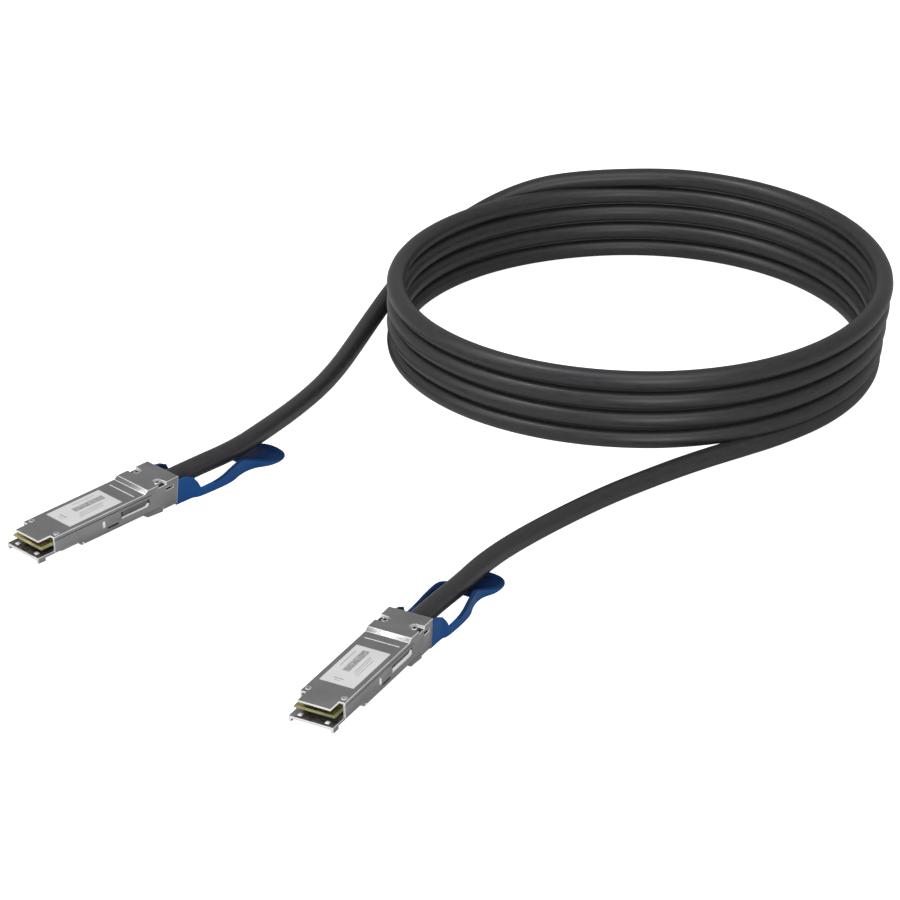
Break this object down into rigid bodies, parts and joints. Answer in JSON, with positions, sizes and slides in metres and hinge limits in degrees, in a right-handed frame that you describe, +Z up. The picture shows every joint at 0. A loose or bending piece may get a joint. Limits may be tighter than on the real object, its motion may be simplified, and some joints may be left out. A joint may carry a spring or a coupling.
{
  "type": "direct attach copper cable",
  "caption": "Passive copper cable with a metal four-lane plug and a blue pull-tab release at each end, lying in a round coil.",
  "frame": {"origin": "on the surface, under the middle of the box round the two plugs", "axes": "+Z up from the surface, +Y along plug b from its nose to its cord, +X to the right"},
  "size_m": [0.2348, 0.4376, 0.0415],
  "materials": {
    "die_cast": "satin",
    "steel": "satin",
    "screw": "satin",
    "gold": "polished",
    "board": "satin",
    "chip": "matte",
    "capacitor": "satin",
    "pair_foil": "satin",
    "comb": "matte",
    "conductive_rubber": "matte",
    "label": "satin",
    "tab": "satin",
    "jacket": "satin"
  },
  "bodies": {
    "root": {"upper_shell_a": "die_cast", "lower_shell_a": "die_cast", "paddle_card_a": "board", "contact_fingers_a": "gold", "memory_chip_a": "chip", "coupling_capacitors_a": "capacitor", "twinax_pairs_a": "pair_foil", "wire_comb_a": "comb", "cable_end_a": "jacket", "crimp_ring_a": "steel", "cable_gasket_a": "conductive_rubber", "front_rivets_a": "steel", "head_screws_a": "screw", "label_a": "label", "upper_shell_b": "die_cast", "lower_shell_b": "die_cast", "paddle_card_b": "board", "contact_fingers_b": "gold", "memory_chip_b": "chip", "coupling_capacitors_b": "capacitor", "twinax_pairs_b": "pair_foil", "wire_comb_b": "comb", "cable_end_b": "jacket", "crimp_ring_b": "steel", "cable_gasket_b": "conductive_rubber", "front_rivets_b": "steel", "head_screws_b": "screw", "label_b": "label", "tail_a": "jacket", "tail_b": "jacket", "cable_coil": "jacket"},
    "release_a": {"release_slider_a": "steel", "pull_tab_a": "tab", "return_springs_a": "steel"},
    "release_b": {"release_slider_b": "steel", "pull_tab_b": "tab", "return_springs_b": "steel"}
  },
  "joints": [
    {"name": "release_slide_a", "type": "slide", "parent": "root", "child": "release_a", "axis": [0.2772, 0.9597, 0.0454], "range_m": [0, 0.0028], "stiffness_N_per_m": 400, "springref_m": -0.004, "deforming": ["return_springs_a"]},
    {"name": "release_slide_b", "type": "slide", "parent": "root", "child": "release_b", "axis": [0, 0.999, 0.0454], "range_m": [0, 0.0028], "stiffness_N_per_m": 400, "springref_m": -0.004, "deforming": ["return_springs_b"]}
  ]
}
